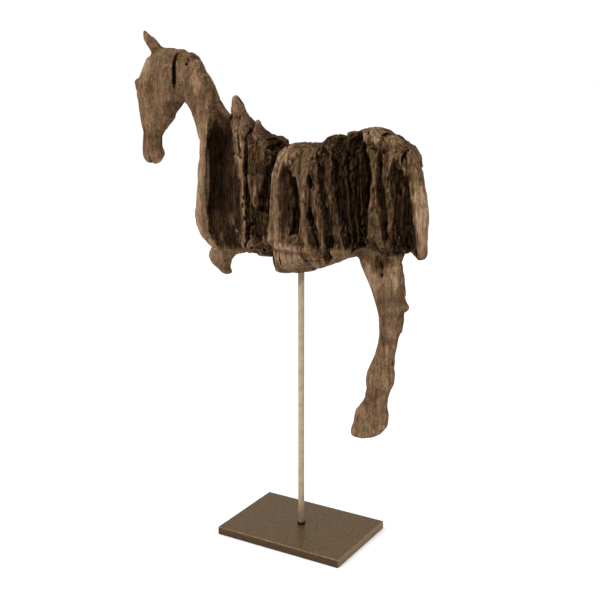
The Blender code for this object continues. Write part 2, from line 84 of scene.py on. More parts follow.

# Areas of the near side: depth in the middle, depth at the edges, roughness, tone,
# then rows of height, front edge, rear edge. A later area lies over the ones before it.
# The low tones of the gaps, seams, voids, pits and deep hollows are partly the wood's darker stain and
# partly painted shade.
NEAR_AREAS = {
    "shoulder_plank": (0.0, 0.0, 0.25, 0.23, (
        (240, -131, -100), (225, -127, -100), (207, -114, -99), (185, -114, -98), (165, -115, -80),
        (144, -114, -75), (122, -113, -70), (100, -112, -69), (78, -112, -69), (54, -115, -73.5),
        (38, -116, -82), (25, -114, -94))),
    "ridge": (0.0, 1.6, 0.4, 0.60, (
        (252, -114, -74), (229, -110, -76), (206, -104, -78), (188, -101, -76.5),
        (176, -98.5, -73), (166, -92, -72), (156, -84, -71), (145, -80, -70), (135, -77.5, -69.5),
        (124, -75, -67), (113, -74, -66), (92, -73.5, -66), (69, -73.5, -66), (51, -78, -68),
        (37, -85.5, -59.5), (22, -96, -72))),
    "ridge_top": (0.4, 1.8, 0.75, 0.60, (
        (252, -114, -74), (206, -104, -77), (180, -99, -75), (158, -84, -72))),
    "ridge_seam": (5.0, 2.0, 0.8, 0.26, (
        (212, -92, -91), (197, -86.5, -85.5), (177, -82, -80.5), (163, -79, -77.5))),
    "ridge_gap": (7.0, 4.0, 0.9, 0.25, (
        (194, -76.5, -72.5), (189, -76, -70), (180, -73, -70), (172, -72, -67.5),
        (160, -71.5, -67), (146, -71, -64.5), (135, -69, -63.5), (123, -68, -60.5),
        (110, -67.5, -61), (96, -66.5, -62.5), (79, -66, -61.5), (51, -69, -65.5))),
    "broken_block": (1.0, 3.0, 1.1, 0.37, (
        (222, -76, -46), (200, -76, -42), (185, -72, -34), (168, -68, -30), (158, -66, -28),
        (147, -65, -29), (126, -63, -34), (115, -62, -37), (106, -62, -41), (93, -59, -42),
        (86, -50, -43))),
    "block_spear": (0.2, 2.2, 0.7, 0.45, (
        (137, -64, -59), (132, -64, -50), (124, -63, -44), (115, -60.5, -42), (107, -59, -43),
        (96, -57, -41.5), (87, -47, -42.5))),
    "block_top": (0.2, 1.6, 0.7, 0.47, (
        (222, -78, -56), (204, -76, -54), (194, -72, -52), (187, -68, -50), (180, -64, -52))),
    "block_rib": (0.0, 2.2, 0.9, 0.43, (
        (206, -66, -58), (193, -61, -53), (175, -46, -38), (165, -43, -35), (154, -43, -35))),
    "girth": (5.5, 5.0, 1.0, 0.275, (
        (92, -66, -57), (84, -67, -26), (72, -67, -28), (58, -69, -30), (44, -72, -33.5),
        (29, -77.5, -38.5))),
    "girth_foot": (0.5, 3.0, 1.2, 0.53, (
        (49, -65, -53), (44, -69, -48), (35, -74, -47), (25, -79, -49), (21, -67, -54))),
    "girth_foot_rear": (0.5, 3.0, 1.2, 0.44, (
        (53, -42, -33), (43, -45, -32), (30, -51, -37), (21, -55, -44))),
    "block_void": (10.0, 8.0, 1.0, 0.22, (
        (190, -36, -14), (179, -38, -15), (172, -32, -18), (157, -28, -19), (149, -33, -22),
        (138, -34, -23), (117, -38, -26), (106, -43, -26), (95, -43, -27), (87, -48, -27),
        (85, -46, -27))),
    "flap": (0.0, 1.0, 0.35, 0.575, (
        (186, -14, 30), (178, -17, 29), (171, -17, 26), (161, -17, 18), (151, -19, 17),
        (140, -22, 19), (120, -23, 21), (99, -24, 21), (77, -26, 22), (66, -28, 22), (55, -31, 21),
        (43, -33, 22), (34, -24, 35), (23, -20, 42), (11, -23, 31))),
    "flap_hollow": (5.5, 0.6, 0.6, 0.315, (
        (158, -5, 3), (141, -8, 14), (130, -9, 19), (120, -9, 21), (99, -8, 23), (78, -8, 24),
        (67, -8, 24), (58, -6, 21), (51, 3, 16))),
    "flap_deep_hollow": (9.5, 5.0, 0.6, 0.19, (
        (146, 1, 13), (125, 7, 21), (110, 9, 22), (89, 11, 24), (70, 9, 23), (60, 6, 20))),
    "flap_fold": (2.2, 0.8, 0.5, 0.41, (
        (181, 7, 10), (175, 2, 7), (169, -1, 3.5), (161, 0, 3.5), (153, 2, 5), (146, 6, 11),
        (140, 11, 16))),
    "bone": (0.0, 2.4, 0.45, 0.49, (
        (188, 6, 48), (177, 1, 48), (169, 1, 48), (162, 3, 47), (153, 7, 50), (143, 13, 44),
        (133, 18, 39), (122, 21, 40), (102, 24, 41), (91, 25, 40.5), (81, 25.5, 41), (70, 24, 46),
        (59, 22, 48), (48, 19, 50), (38, 23, 56), (29, 27, 52))),
    "flap_foot": (0.0, 0.4, 0.3, 0.64, (
        (56, -27, -12), (48, -30, 8), (44, -30, 20), (36, -24, 24), (26, -20, 30), (14, -20, 38),
        (4, -16, 30))),
    "bone_foot": (0.0, 1.0, 0.4, 0.51, (
        (54, 22, 36), (48, 21, 41), (38, 24, 50), (30, 27, 56), (22, 32, 56), (12, 34, 50))),
    "second_bone": (0.6, 2.6, 0.8, 0.42, (
        (166, 38, 46), (154, 42, 50), (144, 42, 52), (124, 40, 55), (103, 42, 59), (83, 46, 62),
        (61, 47, 64), (50, 48, 62), (39, 50, 59))),
    "bone_pit_high": (7.0, 5.0, 0.5, 0.20, (
        (143, 38, 41), (137, 37.5, 42), (130, 38.5, 43), (124, 39.5, 42))),
    "bone_pit_low": (7.0, 5.0, 0.5, 0.19, (
        (97, 40, 42), (91, 39.5, 44), (82, 40, 45.5), (74, 41.5, 45))),
    "bone_seam": (3.5, 1.5, 0.5, 0.28, (
        (123, 39.5, 41.5), (97, 41, 42.5))),
    "bone_seam_low": (4.0, 2.0, 0.5, 0.28, (
        (73, 42.5, 45), (64, 44, 46.5), (54, 46, 48.5), (45, 49, 51))),
    "front_cleft": (8.0, 5.5, 0.6, 0.34, (
        (177, 41, 44.5), (154, 49.5, 55), (144, 51.5, 58.5), (124, 55.5, 63.5),
        (114, 56.5, 67.5), (94, 60, 69.5), (73, 62.5, 71.5), (62, 63, 71), (52, 62.5, 68.5),
        (45, 62, 65))),
    "gap_knob": (5.0, 7.0, 0.6, 0.34, (
        (120, 63, 69), (115, 62, 71), (108, 62.5, 71), (104, 65, 69))),
    "flank_slat": (1.0, 3.0, 1.0, 0.325, (
        (206, 46, 66), (190, 46, 66), (174, 50, 69), (155, 58.5, 73.5), (135, 62, 76),
        (105, 68.5, 80), (84, 72, 85.5), (63, 72, 89.5), (52, 71, 89), (40, 68, 87))),
    "flank_foot": (0.5, 2.5, 1.0, 0.42, (
        (77, 73, 85), (70, 72.5, 89), (59, 72, 89.5), (48, 70.5, 89), (36, 66, 85.5))),
    "middle_gap": (8.5, 6.0, 0.8, 0.20, (
        (175, 67.5, 72.5), (156, 73, 80), (136, 75.5, 83), (101, 80.5, 88), (93, 82.5, 90),
        (83, 85, 92.5), (79, 86.5, 92))),
    "dark_flank": (3.4, 4.2, 1.2, 0.14, (
        (212, 66, 116), (185, 70, 118), (167, 77.5, 121.5), (147, 82, 125), (127, 85, 124.5),
        (107, 87.5, 122), (86, 91.5, 120.5), (65, 90, 117.5), (39, 85.5, 104))),
    "dark_crest": (0.8, 2.0, 0.6, 0.37, (
        (212, 62, 103), (196, 64, 103), (192, 66, 101), (187, 68, 92), (182, 70, 84))),
    "dark_rib_front": (1.6, 3.0, 0.9, 0.20, (
        (190, 73, 84), (184, 77, 86), (166, 84.5, 89.5), (147, 89.5, 94), (127, 92.5, 96.5),
        (86, 96, 100.5), (64, 95, 100), (43, 90.5, 93))),
    "dark_rib_middle": (1.8, 3.0, 0.9, 0.19, (
        (193, 84, 94), (187, 87, 95), (176, 90.5, 97), (157, 96.5, 101), (127, 101, 104.5),
        (87, 104.5, 108.5), (65, 104, 108.5), (42, 97, 100))),
    "dark_rib_rear": (2.2, 3.2, 0.9, 0.17, (
        (194, 97, 107), (186, 101, 109), (168, 106, 111), (148, 109.5, 113.5), (128, 111, 114),
        (87, 112, 115.5), (65, 110.5, 114), (42, 101, 102.5))),
    "croup_gap": (8.0, 5.0, 0.8, 0.19, (
        (187, 109.5, 114), (168, 116.5, 123), (149, 120, 125.5), (129, 119.5, 125),
        (104, 117.5, 121.5))),
    "croup_rib": (0.4, 2.6, 1.0, 0.42, (
        (216, 100, 140), (198, 103, 137), (187, 112.5, 134.5), (178, 119.5, 134),
        (169, 123, 133), (149, 126.5, 134), (139, 126.5, 134), (119, 123.5, 136.5),
        (99, 121.5, 140), (78, 120, 142.5), (67, 118, 143), (55, 114, 142.5), (40, 104, 136))),
    "croup_knob": (0.0, 1.6, 0.7, 0.63, (
        (220, 101, 134), (200, 102, 133), (195, 106, 132), (189, 112, 130), (184, 117, 128))),
    "croup_rib_low": (0.2, 1.6, 0.8, 0.43, (
        (127, 126, 132), (113, 123.5, 136), (97, 122.5, 139), (76, 121, 141.5), (55, 116, 141),
        (40, 107, 133))),
    "thigh_gap": (6.0, 4.0, 0.8, 0.24, (
        (165, 133, 137), (149, 134, 140), (130, 135, 142.5), (109, 138, 145.5), (89, 141.5, 147),
        (76, 142.5, 146.5))),
    "thigh_rib": (0.6, 2.4, 0.9, 0.38, (
        (182, 133.5, 137), (169, 135.5, 141), (159, 138, 144), (150, 140, 145.5),
        (130, 143.5, 151.5), (120, 145, 153), (89, 147.5, 153), (68, 146, 152), (43, 138, 147.5))),
    "rump": (0.0, 1.8, 0.8, 0.525, (
        (212, 131, 162), (193, 134.5, 192), (188, 135, 196), (178, 136, 198), (172, 137, 176),
        (163, 139, 168), (155, 142, 166), (148, 145, 165))),
    "tail_hollow": (6.5, 3.0, 0.9, 0.275, (
        (170, 151, 157), (160, 149.5, 161), (149, 148, 164), (139, 149.5, 166),
        (129, 151.5, 167.5), (109, 153.5, 169), (89, 154, 171), (67, 153, 174.5),
        (54, 150.5, 177), (42, 147, 171.5))),
    "rump_edge": (0.0, 1.0, 0.8, 0.56, (
        (206, 134, 152), (193, 138, 151), (186, 144, 151), (180, 147.5, 152))),
}

# The far side is plainer
FAR_AREAS = {
    "shoulder_plank": (0.0, 0.0, 0.3, 0.40, (
        (240, -132, -86), (172, -122, -86), (40, -120, -82), (26, -110, -80))),
    "first_slab": (0.4, 2.6, 1.0, 0.50, (
        (240, -94, -60), (190, -90, -62), (110, -86, -56), (24, -84, -60))),
    "second_slab": (1.4, 3.4, 1.4, 0.42, (
        (212, -58, -24), (150, -58, -20), (90, -52, -26), (22, -56, -22))),
    "third_slab": (0.2, 2.4, 1.0, 0.52, (
        (190, -18, 22), (120, -14, 16), (60, -20, 20), (10, -16, 26))),
    "fourth_slab": (1.0, 3.0, 1.2, 0.46, (
        (190, 27, 58), (120, 21, 48), (60, 25, 54), (14, 31, 60))),
    "fifth_slab": (2.6, 4.4, 1.8, 0.30, (
        (205, 64, 100), (120, 54, 94), (60, 60, 98), (30, 66, 104))),
    "sixth_slab": (0.8, 3.0, 1.2, 0.48, (
        (218, 105, 140), (120, 100, 130), (60, 104, 138), (36, 108, 144))),
    "seventh_slab": (0.6, 2.8, 1.2, 0.50, (
        (208, 145, 178), (120, 136, 160), (60, 142, 162), (38, 148, 164))),
}

# Bare wood between the areas: depth, roughness, tone
BARE_WOOD = (5.0, 0.9, 0.3)

# The long hollow behind the breast's edge: height, front edge, rear edge
SHOULDER_HOLLOW = (
    (222, -130, -112), (210, -131, -110), (195, -136.5, -106), (179, -140.5, -104),
    (162, -142, -104), (140, -142, -104), (94, -144, -102), (72, -143.5, -102),
    (49, -140.5, -104), (34, -133.5, -104), (25, -125.5, -104))
SHOULDER_DEPTH = 7.5

# Where the ridge behind it begins: height, x
RIDGE_FRONT = ((150, -84), (165, -94), (186, -99), (206, -102), (226, -106))

# Lower edge of the eroded wood: x, height
TRUNK_FLOOR = (
    (-90, 26), (-70, 22), (-40, 22), (-25, 34), (-8, 38), (30, 36), (60, 44), (100, 48),
    (125, 42), (165, 42))

# How fast a hollow deepens from its upper and lower ends, and how fast any other area does
SOFT_END = 0.28
HARD_END = 0.6

# How far forward the tones lie of the carving, so that the walls that face the rear get the gaps' dark
# tone too, partly painted shade
TONE_LEAD = 1.1

# Front edge of the tail slab: height, x
TAIL_EDGE = (
    (184, 176), (178, 161), (168, 164), (149, 166), (109, 170.5), (88, 172.5), (57, 177.5),
    (47, 178.5), (30, 176))

# Small holes, as x, height, half length along the body, half height, depth
NEAR_HOLES = (
    (-176.2, 278.5, 1.5, 1.8, 4.0),
    (-39, 183.5, 3.0, 2.6, 7.0),
    (-29.5, 178, 2.6, 2.2, 6.0),
    (-30.4, 175, 4.0, 3.0, 8.0),
    (-74, 190, 1.3, 2.2, 3.0),
    (-69.5, 176, 1.2, 2.6, 3.0),
    (-60.5, 66, 2.0, 3.0, 5.0),
    (130.2, 14, 1.6, 3.0, 1.6),
    (-56, 34, 2.4, 2.6, 4.0),
    (-46, 30, 2.4, 3.0, 4.0),
    (-9, 24, 1.0, 7.0, 1.6),
    (-69.5, 104, 1.2, 3.5, 3.0),
    (-71, 93, 1.1, 3.5, 2.5),
    (-69, 75, 1.2, 4.0, 2.5),
    (-19, 171, 2.0, 2.4, 5.0),
    (130.5, 197, 1.8, 2.2, 3.0),
    (112, 199, 1.6, 2.2, 3.0),
    (160.5, 171, 1.0, 8.0, 2.5),
    (142.8, -108, 1.2, 4.5, 1.6),
    (-238, 139.5, 1.4, 7.0, 5.0),
)

# Small lighter and darker marks, as x, height, half length along the body, half height, change of tone.
# The dark marks where the leg meets the trunk, below its overhang, and the dark mark on the cheek at x
# -201 are painted shade.
NEAR_MARKS = (
    (-203, 276.5, 6.5, 1.3, 0.26),
    (-174.5, 285, 1.8, 2.2, -0.24),
    (-178, 283, 5.0, 6.0, -0.06),
    (-201, 222, 8.0, 9.0, -0.13),
    (-199, 240, 5.0, 14.0, -0.06),
    (-196, 240, 6.0, 24.0, -0.05),
    (-182, 263, 8.0, 11.0, 0.07),
    (-166.5, 282, 1.8, 8.0, 0.18),
    (-163.5, 266, 2.0, 14.0, 0.18),
    (-160, 252, 2.4, 14.0, 0.14),
    (-172.5, 288, 2.6, 4.0, -0.12),
    (-188, 289, 17.0, 7.0, -0.07),
    (-172, 270, 2.0, 12.0, -0.07),
    (-148, 250, 5.0, 22.0, -0.05),
    (-236.5, 284, 1.6, 6.0, 0.15),
    (-243, 280, 2.2, 6.0, 0.06),
    (-246.5, 314, 1.8, 8.0, 0.16),
    (-237, 300, 2.0, 10.0, 0.07),
    (-250, 240, 4.0, 30.0, 0.03),
    (-240, 150, 12.0, 4.0, 0.02),
    (-102, 68, 7.0, 10.0, 0.26),
    (-103, 68, 3.2, 5.0, -0.14),
    (-97, 64, 2.4, 5.0, 0.18),
    (-84, 56.5, 3.0, 2.6, 0.36),
    (-92, 58, 2.4, 4.0, 0.20),
    (-123.5, 39, 2.8, 9.0, 0.26),
    (-114, 40, 2.6, 11.0, -0.08),
    (112, 35, 6.0, 5.0, -0.12),
    (126, 36, 7.0, 5.0, -0.12),
    (121, 25, 5.0, 9.0, -0.17),
    (131, 26, 4.0, 8.0, -0.15),
    (130.6, 26, 1.6, 10.0, -0.16),
    (141, 22, 5.0, 4.0, 0.10),
    (143, 12, 4.0, 4.0, 0.08),
    (130, 13, 4.0, 6.0, -0.12),
    (-3, 165, 14.0, 12.0, 0.16),
    (58, 26, 24.0, 10.0, 0.10),
    (72, 42, 12.0, 8.0, 0.07),
    (-236, 271, 18.0, 16.0, 0.09),
    (-135, 221, 10.0, 12.0, -0.015),
    (-90, 208, 12.0, 18.0, -0.04),
    (-6, 50, 18.0, 12.0, 0.06),
    (125, 12, 28.0, 26.0, 0.125),
    (128, -16, 26.0, 14.0, -0.08),
    (-132, 12, 16.0, 14.0, -0.04),
    (-160, 232, 12.0, 16.0, -0.03),
    (-228, 246, 20.0, 20.0, -0.055),
    (112, -195, 24.0, 20.0, 0.03),
    (120, -106, 22.0, 58.0, 0.025),
    (-238, 162, 14.0, 22.0, -0.06),
    (-150, 262, 14.0, 18.0, 0.06),
    (148, 25, 4.5, 13.0, 0.17),
    (149, 4, 3.0, 10.0, 0.10),
    (109, 14, 3.5, 26.0, 0.10),
    (118, -16, 3.0, 22.0, 0.07),
    (126, 0, 8.0, 8.0, -0.06),
    (127, 34, 15.0, 8.0, -0.15),
    (128, 22, 8.0, 10.0, -0.15),
    (117, 30, 2.2, 6.0, -0.10),
    (137, 36, 4.0, 5.0, -0.12),
    (-14, 17, 2.0, 7.0, -0.18),
    (-10.5, 8, 3.0, 3.0, -0.16),
    (136, -78, 9.0, 7.0, -0.08),
    (136, -89, 1.6, 8.0, 0.16),
    (125, -152, 9.0, 9.0, -0.07),
    (131.5, -157, 2.6, 4.0, 0.16),
    (132.5, -202, 2.6, 3.0, 0.18),
    (96, -180, 3.5, 12.0, 0.08),
    (113.5, -132, 2.0, 11.0, 0.08),
    (69, 116, 2.4, 2.0, 0.16),
    (-16, 12, 4.0, 9.0, -0.10),
    (157, 150, 9.0, 10.0, 0.08),
    (-72, 62, 4.0, 20.0, -0.08),
    (-71, 39, 3.0, 5.0, 0.08),
    (-75, 124, 2.6, 8.0, -0.08),
    (158.5, 180, 2.2, 5.0, -0.18),
    (161.5, 167, 2.4, 9.0, -0.20),
    (123, 190, 6.0, 5.0, 0.09),
    (140, 193, 6.0, 4.0, 0.10),
    (148, 188, 5.0, 4.0, 0.10),
    (140, 180, 5.0, 6.0, -0.12),
    (80, 55, 3.5, 9.0, 0.05),
    (127, 64, 7.0, 15.0, 0.05),
    (17, 155, 5.0, 8.0, 0.05),
    (-241.5, 143, 3.5, 4.5, 0.12),
    (-229, 142, 5.0, 4.5, 0.12),
)

# Ways that the skin faces
FRONT = (-1.0, 0.0, 0.0)
REAR = (1.0, 0.0, 0.0)
NEAR = (0.0, -1.0, 0.0)
TOP = (0.0, 0.0, 1.0)
UNDER = (0.0, 0.0, -1.0)
TOP_REAR = (0.85, 0.0, 0.5)
FAR_REAR = (0.9, 0.4, 0.0)
UNDER_FRONT = (-0.7, 0.0, -0.7)

# Where the worn outline lies inside the solid's, or outside it: x and height from and to,
# the way the skin faces there, millimetres taken off (less than 0 adds), softness in height
TRIMS = (
    (-238, -224, 300, 314, (0.8, 0.0, 0.6), -1.8, 4),
    (-208, -184, 292, 304, TOP, 1.2, 4),
    (-168, -154, 268, 288, TOP_REAR, 1.8, 4),
    (-158, -138, 230, 264, TOP_REAR, 0.5, 5),
    (-134, -120, 212, 228, TOP_REAR, 1.4, 4),
    (-260, -246, 232, 244, FRONT, -1.2, 3),
    (-224, -208, 188, 204, (0.8, 0.0, -0.5), -1.2, 4),
    (-250, -241, 134, 146, (-0.3, 0.0, -0.95), 1.3, 3),
    (-232, -218, 150, 172, REAR, -1.2, 4),
    (-178, -160, 206, 240, (-1.0, 0.0, -0.2), 1.7, 5),
    (-164, -148, 180, 198, FRONT, -1.4, 5),
    (-158, -142, 136, 154, FRONT, 1.0, 6),
    (-162, -146, 68, 78, FRONT, -1.1, 3),
    (-148, -128, 26, 42, (-0.8, 0.0, -0.5), 1.4, 4),
    (-164, -150, 6, 18, FRONT, -1.4, 4),
    (-152, -132, -16, -2, UNDER_FRONT, 2.2, 4),
    (-134, -118, -22, -10, UNDER, -1.2, 3),
    (-128, -112, -10, 8, (0.9, 0.0, -0.4), 2.6, 4),
    (-114, -102, 8, 20, (0.7, 0.0, -0.7), 1.8, 4),
    (-98, -72, 14, 28, UNDER, -1.5, 4),
    (-34, -16, 4, 36, FRONT, 3.0, 4),
    (-32, -12, -6, 6, UNDER_FRONT, -1.8, 4),
    (-14, 0, -4, 8, UNDER, 0.8, 3),
    (12, 30, 0, 12, UNDER, 1.0, 3),
    (42, 58, 12, 24, UNDER, -1.4, 4),
    (60, 78, 20, 50, UNDER, -1.4, 4),
    (82, 92, 28, 50, UNDER, -0.9, 4),
    (-64, -48, 184, 206, TOP, 1.6, 4),
    (-42, -32, 172, 190, TOP, -0.6, 4),
    (-12, -2, 166, 184, TOP, -1.2, 4),
    (10, 22, 168, 186, TOP, -1.1, 4),
    (46, 62, 180, 202, TOP, -2.2, 4),
    (68, 92, 184, 208, TOP, -1.6, 4),
    (98, 118, 194, 214, TOP, -0.6, 4),
    (156, 170, 168, 178, (0.75, 0.35, 0.55), -2.2, 10),
    (162, 180, 150, 156, (0.85, 0.5, 0.1), -1.3, 10),
    (172, 188, 128, 136, FAR_REAR, 0.8, 6),
    (176, 196, 84, 104, FAR_REAR, -1.1, 5),
    (164, 178, 36, 50, UNDER, -1.0, 4),
    (-16, 34, 43, 45, NEAR, -2.6, 7),
    (144, 166, 28, 44, REAR, 1.8, 4),
    (140, 164, -14, 12, REAR, -0.8, 4),
    (148, 168, -34, -22, REAR, -1.2, 4),
    (140, 164, -64, -48, REAR, -0.9, 4),
    (120, 150, -160, -124, REAR, -0.7, 4),
    (70, 124, -204, 30, FRONT, -0.4, 8),
    (90, 110, -178, -162, (-1.0, 0.0, 0.2), 1.2, 4),
    (86, 100, -226, -214, (-0.2, 0.0, -1.0), -0.8, 3),
    (108, 134, -224, -204, (0.2, 0.0, -1.0), 1.0, 3),
)

# The slit in the cheek: height, front edge, rear edge
CHEEK_SLIT = (
    (294, -192.5, -190.5), (289, -194.5, -191.5), (282, -197, -193), (274, -197.5, -192.5),
    (264, -197, -192.5), (252, -196.5, -193), (246, -195.5, -194))

# Tone of the wood that isn't eroded
SMOOTH_TONE = 0.615

# Colours of the wood from the darkest crevice to the palest crest, linear, at places from 0 to 1
WOOD_STEPS = (
    (0.00, (0.0012, 0.0006, 0.0003)),
    (0.22, (0.0095, 0.0050, 0.0024)),
    (0.42, (0.0370, 0.0205, 0.0100)),
    (0.58, (0.0860, 0.0495, 0.0260)),
    (0.74, (0.1550, 0.0940, 0.0520)),
    (1.00, (0.3400, 0.2300, 0.1430)),
)

# How far the tint swings in red, green and blue
TINT_SWING = (0.50, 0.20, 0.55)

# Grain: bumps to the metre across it, and how far it is drawn out along the wood
GRAIN_ACROSS = 380.0
GRAIN_STRETCH = 0.09
GRAIN_MASKS = ("Broad", "Fine", "Blotches", "Crumbs")

# Colours of the metals, the ring and the floor, linear
STEEL_PALE = (0.44, 0.335, 0.225)
# Dark colour for the rod's stains and for its painted reflection of the belly
STEEL_STAIN_AND_REFLECTION = (0.17, 0.120, 0.070)
PLATE_BROWN = (0.107, 0.0622, 0.0222)
PLATE_DARK = (0.057, 0.0330, 0.0157)
# Pale colour for the plate's bright top edges and for the painted light on its rear end
PLATE_PALE = (0.260, 0.172, 0.098)
RING_BLACK = (0.016, 0.009, 0.005)
FLOOR_WHITE = (0.96, 0.96, 0.96)

# Width of the plate's bright rim
RIM_WIDTH = 0.0009

# Lights: bearing in degrees from the camera's side, height, distance, size, power
LIGHTS = {
    "left_light": (-60, 1.5, 1.8, 1.2, 18),
    "top_light": (10, 2.6, 0.8, 1.6, 16),
}
AIM_HEIGHT = 0.45
SKY_STRENGTH = 1.05


def hashed(cells, seed):
    """A repeatable number from 0 to 1 for each whole-number cell."""
    x, y, z = (cells[:, k].astype(np.uint64) for k in range(3))
    h = x * np.uint64(0x9E3779B1) + y * np.uint64(0x85EBCA77) + z * np.uint64(0xC2B2AE3D)
    h = (h + np.uint64(seed * 0x27D4EB2F)) & np.uint64(0xFFFFFFFF)
    h = ((h ^ (h >> np.uint64(15))) * np.uint64(0x2C1B3C6D)) & np.uint64(0xFFFFFFFF)
    h = ((h ^ (h >> np.uint64(12))) * np.uint64(0x297A2D39)) & np.uint64(0xFFFFFFFF)
    return ((h ^ (h >> np.uint64(15))) & np.uint64(0xFFFFFF)).astype(float) / 0xFFFFFF


def noise(points, seed):
    """Smooth noise from about -1 to 1, with one bump for each unit of length."""
    base = np.floor(points)
    part = points - base
    ease = part * part * part * (part * (part * 6 - 15) + 10)
    cells = base.astype(np.int64) + 4096
    total = np.zeros(len(points))
    for dx in (0, 1):
        for dy in (0, 1):
            for dz in (0, 1):
                weight = (
                    (ease[:, 0] if dx else 1 - ease[:, 0])
                    * (ease[:, 1] if dy else 1 - ease[:, 1])
                    * (ease[:, 2] if dz else 1 - ease[:, 2])
                )
                total += weight * hashed(cells + (dx, dy, dz), seed)
    return (total - 0.5) * 2


def layered(points, seed, layers=3):
    """Noise with finer noise on top of it."""
    total, weight = np.zeros(len(points)), 0.0
    for layer in range(layers):
        total += noise(points * 2**layer, seed + 17 * layer) / 2**layer
        weight += 1 / 2**layer
    return total / weight * 1.4


def rise(value, low, high):
    """0 below low and 1 above high, with a smooth step between them. High may be the lower one."""
    t = np.clip((value - low) / (high - low), 0, 1)
    return t * t * (3 - 2 * t)


def blend(first, second, share):
    return first + (second - first) * share


class Surface:
    """A mesh's points in millimetres about the belly point, with their normals and edges."""

    def __init__(self, mesh):
        self.mesh = mesh
        points = np.empty(len(mesh.vertices) * 3, np.float32)
        mesh.vertices.foreach_get("co", points)
        self.points = points.reshape(-1, 3).astype(float) / MM - (0, 0, BELLY_HEIGHT)
        normals = np.empty(len(mesh.vertices) * 3, np.float32)
        mesh.vertices.foreach_get("normal", normals)
        self.normals = normals.reshape(-1, 3).astype(float)
        self.x, self.y, self.h = self.points.T
        edges = np.empty(len(mesh.edges) * 2, np.int32)
        mesh.edges.foreach_get("vertices", edges)
        self.edges = edges.reshape(-1, 2)

    def stretched(self, spacing, length):
        """Places for a noise with bumps of that spacing across the grain and that length along it."""
        return self.points / (spacing, spacing, length)

    def neighbours_mean(self, values):
        first, second = self.edges.T
        count = len(self.points)
        ends = np.bincount(first, minlength=count) + np.bincount(second, minlength=count)
        columns = []
        for column in np.atleast_2d(values.T):
            total = np.bincount(first, column[second], count)
            total = total + np.bincount(second, column[first], count)
            columns.append(total / np.maximum(ends, 1))
        return np.array(columns).T if values.ndim > 1 else columns[0]

    def soften(self, rounds):
        """Smooths the facets away and keeps the volume."""
        points = self.points
        for _ in range(rounds):
            points = blend(points, self.neighbours_mean(points), 0.5)
            points = blend(points, self.neighbours_mean(points), -0.53)
        self.write(points)

    def bulge(self, rounds):
        """How far each point stands out of its surroundings, in millimetres: less than 0 in a hollow."""
        points = self.points
        for _ in range(rounds):
            points = self.neighbours_mean(points)
        return ((self.points - points) * self.normals).sum(1)

    def write(self, points):
        data = ((points + (0, 0, BELLY_HEIGHT)) * MM).astype(np.float32)
        self.mesh.vertices.foreach_set("co", data.ravel())
        self.mesh.update()


def area_mask(rows, x, h, softness, end_slope=HARD_END):
    """(mask, way in from the edge as 0 to 1) of an area with rows of height, front edge, rear edge."""
    rows = np.array(rows, float)[::-1]
    front = np.interp(h, rows[:, 0], rows[:, 1])
    rear = np.interp(h, rows[:, 0], rows[:, 2])
    across = np.minimum(x - front, rear - x)
    ends = np.minimum(h - rows[0, 0], rows[-1, 0] - h)
    inside = np.minimum(across, HARD_END * ends)
    half = np.maximum((rear - front) / 2, 1)
    return rise(inside, -softness, softness), np.clip(np.minimum(across, end_slope * ends) / half, 0, 1)


def painted_areas(areas, x, h, bridges):
    """(depth, roughness, tone) of one side, from its table. Bridges of 1 close the narrow gaps."""
    depth, rough, tone = (np.full(len(x), value) for value in BARE_WOOD)
    for name, (middle, edge, area_rough, area_tone, rows) in areas.items():
        soft = name.endswith("hollow")
        end_slope = SOFT_END if soft else HARD_END
        mask, inward = area_mask(rows, x, h, 0.8, end_slope)
        tone_mask, tone_inward = area_mask(rows, x + TONE_LEAD, h, 0.8, end_slope)
        way_in = np.sqrt(rise(inward, 0, 0.7))
        if name.endswith(("gap", "seam", "fold")):
            mask, tone_mask = mask * (1 - bridges), tone_mask * (1 - 0.8 * bridges)
        if soft:
            way_in = rise(inward, -0.1, 0.9)
            tone_mask = tone_mask * rise(tone_inward, -0.1, 0.45)
        depth = blend(depth, blend(edge, middle, way_in), mask)
        rough = blend(rough, area_rough, mask)
        tone = blend(tone, area_tone, tone_mask)
    return depth, rough, tone


